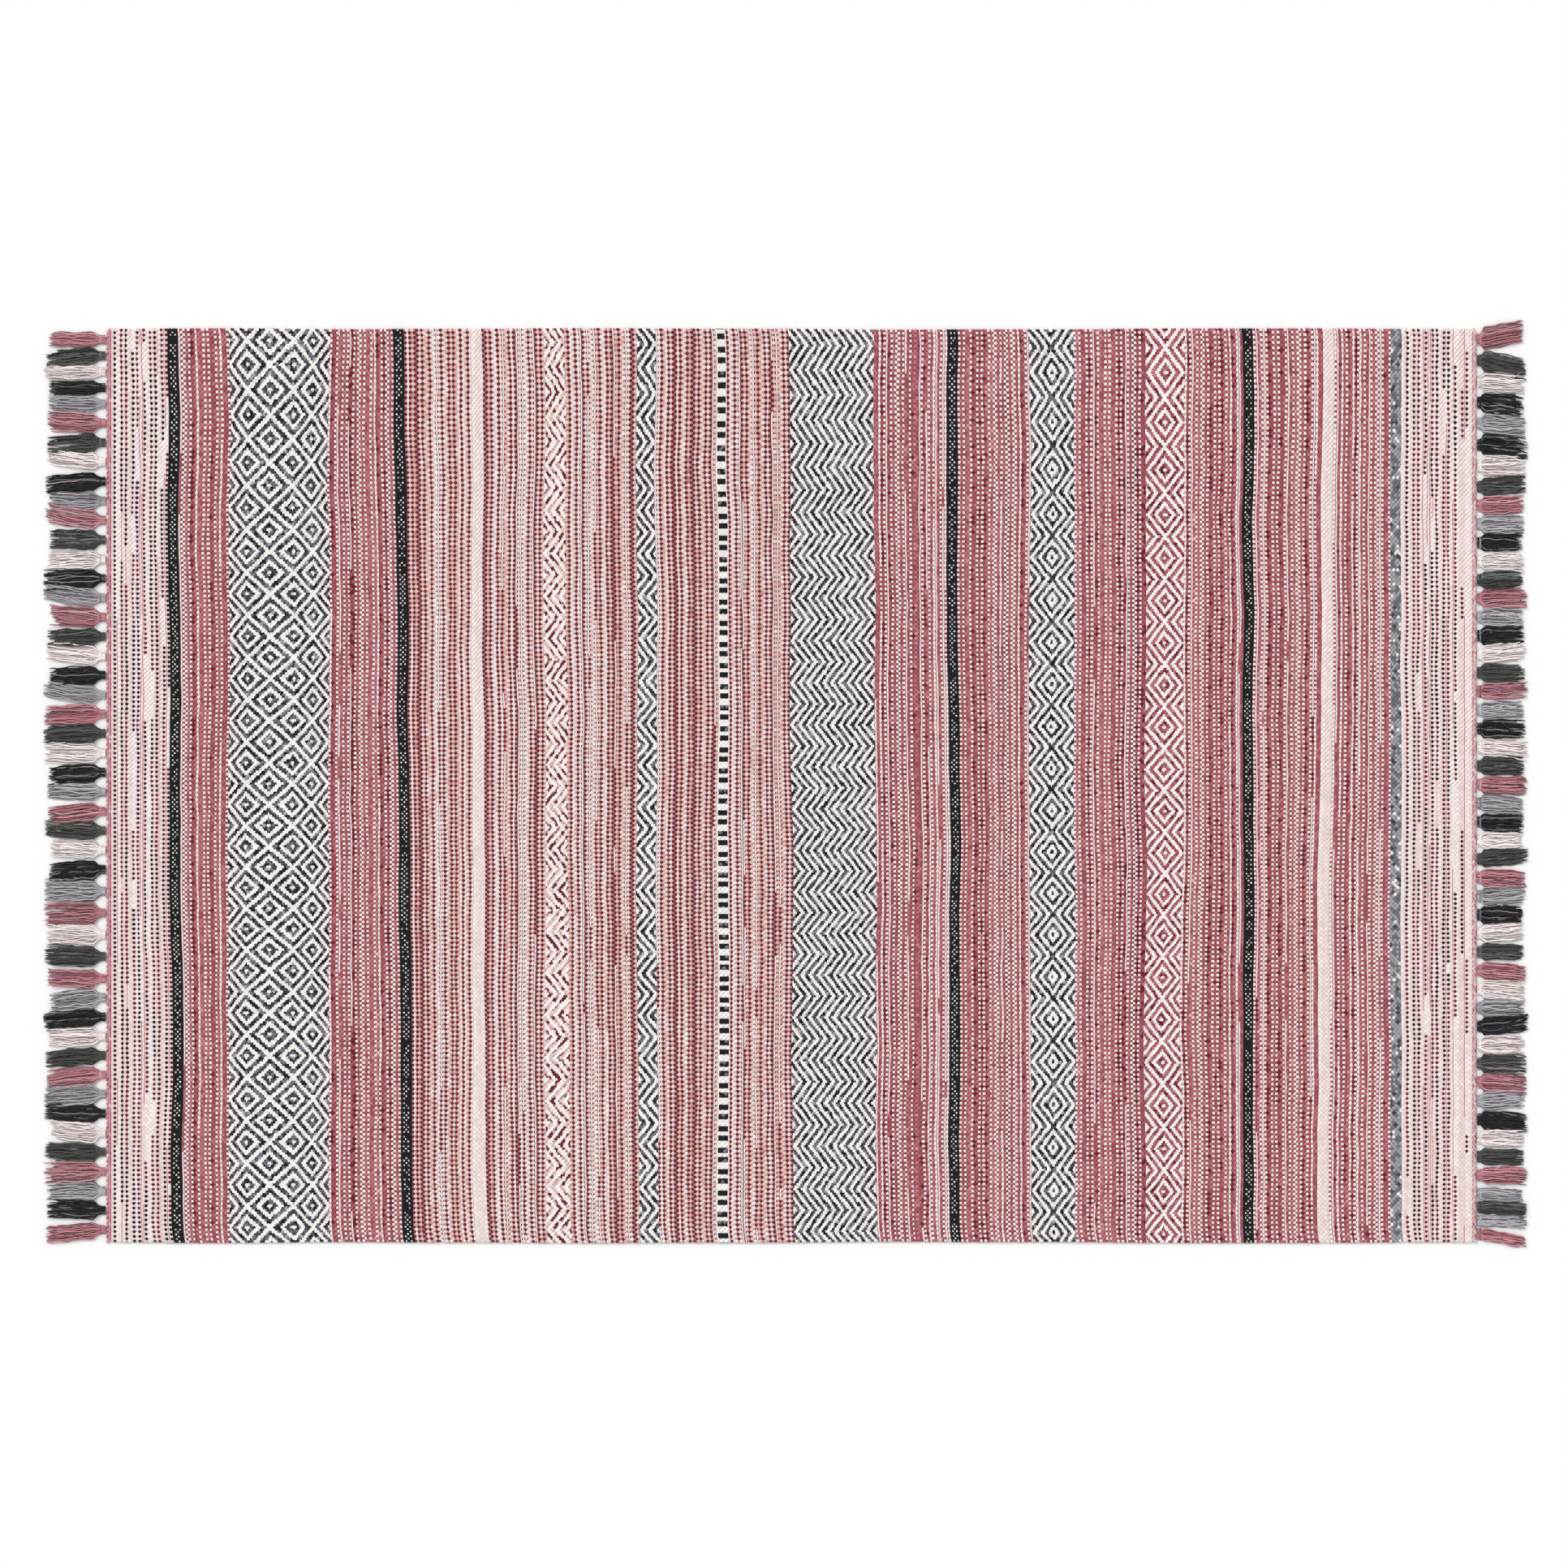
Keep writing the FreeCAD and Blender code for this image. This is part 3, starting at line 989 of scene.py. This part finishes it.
def tassel_tree():
    """A row of tassels: strands packed in a neck that a tie grips, then let go into a loose skirt."""
    labels = (
        "Tassels", "Strands", "Layers", "Side", "Hinge", "Root", "Reach", "Middle", "Tie", "Flare",
        "Neck Half Width", "Neck Half Height", "Skirt Half Height",
        "Strand Radius", "Neck Strand Radius",
    )
    tree, given = shape_tree("Tassel row", labels)
    inputs = {"Geometry": given("Geometry"), "Amount": given("Strands")}
    copies = add_node(tree, "GeometryNodeDuplicateElements", inputs, domain="POINT")
    copy_number = copies.outputs["Duplicate Index"]
    points = store(copies.outputs["Geometry"], "strand", copy_number)
    strands, share = lines_at(points, STRAND_POINTS)

    strand, seed = recall(tree, "strand"), recall(tree, "seed")
    layers = given("Layers")
    layer = (strand % layers) * 2.0 / (layers - 1.0) - 1.0
    columns = given("Strands") / layers
    shift = (chance(strand, seed, 1.0) - 0.5) * 0.7
    across = (calculate("FLOOR", strand / layers) + 0.5 + shift) / columns * 2.0 - 1.0
    short = calculate("POWER", chance(strand, seed, 2.0), 1.6)
    length = given("Reach") * (1.0 - short * 0.2) * recall(tree, "long")
    out = share * (length + given("Root")) - given("Root")
    tie, flare = given("Tie"), given("Flare")
    open_share = smooth_step(out, tie, tie + flare)
    waist = 1.0 - fade_away((out - tie) / TIE_WIDTH) * 0.14
    radius = blend(open_share, given("Neck Strand Radius"), given("Strand Radius"))

    neck_room = (given("Neck Half Width") - radius) * waist * (1.0 - layer * layer * 0.3)
    stray = (chance(strand, seed, 3.0) - 0.5) * 0.6 * out / given("Reach")
    skirt_room = (recall(tree, "half") - radius) * recall(tree, "spread")
    taper = 1.0 - highest(out - tie - flare, 0.0) / given("Reach") * 0.12
    wave = swing(strand * 3.1, out * 50.0, seed) * STRAND_WAVE
    sideways = blend(open_share, across * neck_room, (across + stray) * skirt_room * taper + wave)
    lean = recall(tree, "tilt") * highest(out - tie * 0.7, 0.0) + recall(tree, "bend") * out * out

    neck_rise = (given("Neck Half Height") - radius) * waist * layer
    lump = swing(strand * 5.7, out * 40.0, seed + 3.0) * STRAND_LUMP
    droop = 1.0 - highest(out - tie - flare, 0.0) / given("Reach") * 0.25
    crown = 1.0 - across * across * 0.35
    skirt_rise = (given("Skirt Half Height") - radius) * layer * crown * droop + lump
    rise = blend(open_share, neck_rise, skirt_rise)
    height = highest(given("Middle") + rise, radius)
    x = (given("Hinge") + out) * given("Side")
    place = vector(x, recall(tree, "level") + sideways + lean, height)
    laid = store(moved(strands, place), "along", out)
    laid = store(laid, "share", share)
    laid = store(laid, "tone", chance(strand, seed, 4.0))
    # Painted shade on the middle layer's strands, growing as the skirt opens
    laid = store(laid, "inside", (1.0 - size_of(layer)) * 0.75 * open_share)
    frayed = radius * (1.0 - smooth_step(share, 0.93, 1.0) * 0.4)
    mesh = tube(laid, frayed, 5)
    number = recall(tree, "number") * given("Strands") + recall(tree, "strand")
    total = given("Tassels") * given("Strands")
    finish_tree(strand_map(mesh, number, total, recall(tree, "share")), given)
    return tree


def tie_tree():
    """A row of neck ties: thread wound a few turns round each tassel's neck."""
    labels = (
        "Side", "Hinge", "Place", "Width", "Turns", "Middle", "Half Width", "Half Height", "Thread",
    )
    tree, given = shape_tree("Neck ties", labels)
    turns, share = lines_at(given("Geometry"), TIE_POINTS)
    angle = share * given("Turns") * TURN
    out = given("Hinge") + given("Place") + (share - 0.5) * given("Width")
    y = recall(tree, "level") + calculate("COSINE", angle) * given("Half Width")
    z = given("Middle") + calculate("SINE", angle) * given("Half Height")
    place = vector(out * given("Side"), y, z)
    wound_length = share * given("Turns") * given("Half Width") * 5.0
    wound = store(moved(turns, place), "along", wound_length)
    wound = store(wound, "tone", recall(tree, "seed") % 1.0)
    finish_tree(tube(wound, given("Thread"), 5), given)
    return tree


def runs_of(values, gap):
    """Sorted numbers as (lowest, highest) runs, wherever neighbours are closer than gap."""
    runs = []
    for value in sorted(values):
        if runs and value - runs[-1][1] < gap:
            runs[-1][1] = value
        else:
            runs.append([value, value])
    return runs


def lie_of_tassels(end, levels, loose):
    """How tassels at these levels lie: the slope and the spread of each."""
    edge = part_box(f"{end}_hem")[1][1]
    top, bottom = CORNER_TASSELS[end]
    lie = []
    for level in levels:
        droop = TOP_DROOP[end] * max(0.0, 1.0 - (edge - level) / DROOP_REACH)
        slope = loose.gauss(0, TASSEL_SLOPE) - droop
        lie.append((slope, loose.uniform(*TASSEL_SPREADS)))
        if abs(level) > edge - CORNER_REACH:
            lie[-1] = top if level > 0 else bottom
    return lie


def tie_fringe(end, side):
    """One end's tassels and neck ties, a piece for each yarn colour."""
    body = f"{end}_fringe"
    hinge = next(abs(joint["pos_m"][0]) for joint in frame["joints"] if joint["child"] == body)
    tassels, ties = tassel_tree(), tie_tree()
    loose = random.Random(end)
    tie_place, flare_length, fullness = NECKS[end]
    for yarn, dyes in YARN_DYES.items():
        node = f"{end}_{yarn}_tassels"
        spots = [vertex.co for vertex in frame["nodes"][node].data.vertices]
        root = hinge - min(abs(spot.x) for spot in spots)
        middle = max(spot.z for spot in spots) / 2
        in_necks = [spot.y for spot in spots if abs(spot.x) < hinge + NECK_REACH]
        necks = runs_of(in_necks, TASSEL_GAP)
        skirts = runs_of([spot.y for spot in spots], TASSEL_GAP)
        levels = [(low + high) / 2 for low, high in necks]
        lie = lie_of_tassels(end, levels, loose)
        numbers = {
            "number": [float(index) for index in range(len(levels))],
            "level": levels,
            "half": [(far - near) / 2 for near, far in skirts],
            "seed": [loose.uniform(0, 50) for _ in levels],
            "tilt": [tilt for tilt, _ in lie],
            "bend": [loose.gauss(0, TASSEL_BEND) for _ in levels],
            "spread": [spread for _, spread in lie],
            "long": [loose.uniform(*TASSEL_LENGTHS) for _ in levels],
        }
        contrast = PALE_CONTRAST if yarn == "pale" else TASSEL_CONTRAST
        material = yarn_material(f"{end} {yarn} yarn", dyes, contrast)
        neck_half = (necks[0][1] - necks[0][0]) / 2 * fullness
        shared = {"Side": float(side), "Hinge": hinge, "Middle": middle, "Material": material}
        shape = {
            "Tassels": float(len(levels)), "Strands": float(STRANDS), "Layers": float(STRAND_LAYERS),
            "Root": root * 0.55, "Reach": max(abs(spot.x) for spot in spots) - hinge,
            "Tie": tie_place, "Flare": flare_length,
            "Neck Half Width": neck_half, "Neck Half Height": root, "Skirt Half Height": middle,
            "Strand Radius": STRAND_RADIUS, "Neck Strand Radius": NECK_STRAND_RADIUS,
        }
        base = mesh_of_points(node, numbers)
        piece = shaped_by(tassels, f"{node}_strands", base, {**shared, **shape})
        winding = {
            "Place": tie_place, "Width": TIE_WIDTH, "Turns": TIE_TURNS,
            "Half Width": neck_half * 0.9, "Half Height": root, "Thread": TIE_THREAD,
        }
        tied = f"{end}_{yarn}_neck_ties"
        base = mesh_of_points(tied, numbers)
        thread = shaped_by(ties, f"{tied}_thread", base, {**shared, **winding})
        for made, stands_for in ((piece, node), (thread, tied)):
            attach(made, body)
            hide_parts(stands_for)


tie_fringe("left", -1)
tie_fringe("right", 1)


# ---------- hems and warps


def hem_tree():
    """A twined hem: slanting stitches in columns over a core."""
    labels = (
        "Rows", "Columns", "Warp Pitch", "Half Width",
        "Inner", "Outer", "Middle", "Half Height", "Slant",
    )
    tree, given = shape_tree("Twined hem", labels)
    rows, columns = given("Rows"), given("Columns")
    line = add_node(tree, "GeometryNodeMeshLine", {"Count": rows * columns})
    number = Field(add_node(tree, "GeometryNodeInputIndex").outputs[0])
    column = number % columns
    row = calculate("FLOOR", number / columns) + 0.25 + column * 0.5
    width = (given("Outer") - given("Inner")) / columns
    x = given("Inner") + (column + 0.5) * width
    y = given("Half Width") - drop_from_top(row * HEM_STITCH_WARPS, given("Warp Pitch"))
    points = moved(line.outputs[0], vector(x, y, given("Middle")))
    points = store(points, "tone", chance(number))
    ball = add_node(tree, "GeometryNodeMeshUVSphere", {"Segments": 8, "Rings": 5, "Radius": 1.0})
    stitch = store_map(ball.outputs["Mesh"], "yarn", ball.outputs["UV Map"])
    slant = given("Slant") * (column * 2.0 - 1.0)
    uneven = 0.92 + chance(number, 3.0) * 0.16
    overlap = 0.56
    length = given("Warp Pitch") * HEM_STITCH_WARPS * overlap
    inputs = {
        "Points": points, "Instance": stitch, "Rotation": vector(0.0, 0.0, slant),
        "Scale": vector(size_of(width) * overlap * uneven, length, given("Half Height") * uneven),
    }
    stitches = add_node(tree, "GeometryNodeInstanceOnPoints", inputs).outputs[0]
    core_length = given("Half Width") * 1.994
    core_size = vector(size_of(width) * columns * 0.7, core_length, given("Half Height") * 1.2)
    core = add_node(tree, "GeometryNodeMeshCube", {"Size": core_size}).outputs["Mesh"]
    centre = vector((given("Inner") + given("Outer")) * 0.5, 0.0, given("Middle"))
    placed = add_node(tree, "GeometryNodeSetPosition", {"Geometry": core, "Offset": centre})
    finish_tree(joined(shaded_smooth(made_real(stitches)), placed.outputs[0]), given)
    return tree


def warp_tree():
    """The warp threads that the weft is woven over, hem to hem."""
    labels = ("Warp Pitch", "Half Width", "Left", "Right", "Middle", "Radius", "Lift", "Level From")
    tree, given = shape_tree("Warp threads", labels)
    threads, share = lines_at(given("Geometry"), WARP_POINTS)
    warp = recall(tree, "number") + 0.5
    x = blend(share, given("Left"), given("Right"))
    y = given("Half Width") - drop_from_top(warp, given("Warp Pitch"))
    z = given("Middle") + cloth_lift(x, y, given("Lift"), given("Level From"))
    laid = store(moved(threads, vector(x, y, z)), "along", x)
    laid = store(laid, "tone", chance(warp))
    finish_tree(tube(laid, given("Radius"), 4), given)
    return tree


HEM_DYES = {
    "left": (
        (12, dyed(204, 136, 148)), (4, dyed(218, 162, 172)),
        (3, dyed(172, 94, 110)), (2, dyed(240, 216, 218)),
    ),
    "right": ((8, dyed(222, 172, 178)), (6, dyed(240, 214, 212)), (4, dyed(190, 116, 128))),
}


def weave_hems(shared):
    """The knotted hem at each end."""
    hem = hem_tree()
    for end, side in (("left", -1), ("right", 1)):
        low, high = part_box(f"{end}_hem")
        inner, outer = (high[0], low[0]) if side < 0 else (low[0], high[0])
        own = {
            "Rows": WARPS / HEM_STITCH_WARPS, "Columns": float(HEM_COLUMNS),
            "Inner": inner, "Outer": outer - side * HEM_INSET,
            "Middle": (low[2] + high[2]) / 2, "Half Height": (high[2] - low[2]) / 2,
            "Slant": HEM_SLANT * side,
            "Material": yarn_material(f"{end} hem yarn", HEM_DYES[end]),
        }
        base = bpy.data.meshes.new(f"{end}_hem")
        piece = shaped_by(hem, f"{end}_hem_stitches", base, {**shared, **own})
        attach(piece, "woven_cloth")
        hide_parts(f"{end}_hem")


def lay_warps(shared):
    """The warp threads from hem to hem."""
    low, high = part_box("warp_threads")
    own = {
        "Left": low[0], "Right": high[0], "Middle": (low[2] + high[2]) / 2, "Radius": WARP_RADIUS,
        "Material": yarn_material("warp cotton", ((1, dyed(238, 228, 220)),)),
    }
    numbers = {"number": [float(index) for index in range(WARPS)]}
    base = mesh_of_points("warp_threads", numbers)
    piece = shaped_by(warp_tree(), "warp_threads_cotton", base, {**shared, **own})
    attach(piece, "woven_cloth")
    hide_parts("warp_threads")


weave_hems(WEAVE)
lay_warps(WEAVE)


# ---------- room


def floor_and_light():
    """A pale floor and soft studio light."""
    bpy.ops.mesh.primitive_plane_add(size=FLOOR_SIZE, location=(0, 0, -FLOOR_DROP))
    floor = bpy.context.object
    floor.name = "studio_floor"
    paper, _, surface = new_material("pale paper")
    surface.inputs["Base Color"].default_value = (0.93, 0.93, 0.93, 1.0)
    surface.inputs["Roughness"].default_value = 0.9
    floor.data.materials.append(paper)
    world = bpy.data.worlds.new("soft room")
    bpy.context.scene.world = world
    world.use_nodes = True
    sky = world.node_tree.nodes["Background"]
    sky.inputs["Color"].default_value = (1.0, 1.0, 1.0, 1.0)
    sky.inputs["Strength"].default_value = SKY_STRENGTH
    key = bpy.data.lights.new("key", "SUN")
    key.energy = KEY_STRENGTH
    key.angle = math.radians(35)
    lamp = bpy.data.objects.new("key", key)
    lamp.rotation_euler = (math.radians(-28), math.radians(-32), 0)
    bpy.context.collection.objects.link(lamp)


def straight_down_camera():
    """A long lens straight above the rug, the rug filling most of the frame."""
    lens = bpy.data.cameras.new("camera")
    lens.lens = lens.sensor_width * CAMERA_HEIGHT / VIEW_WIDTH
    lens.clip_end = 100.0
    camera = bpy.data.objects.new("camera", lens)
    camera.location = (*VIEW_CENTRE, CAMERA_HEIGHT)
    bpy.context.collection.objects.link(camera)
    bpy.context.scene.camera = camera
    bpy.context.scene.view_settings.view_transform = "Standard"


floor_and_light()
straight_down_camera()
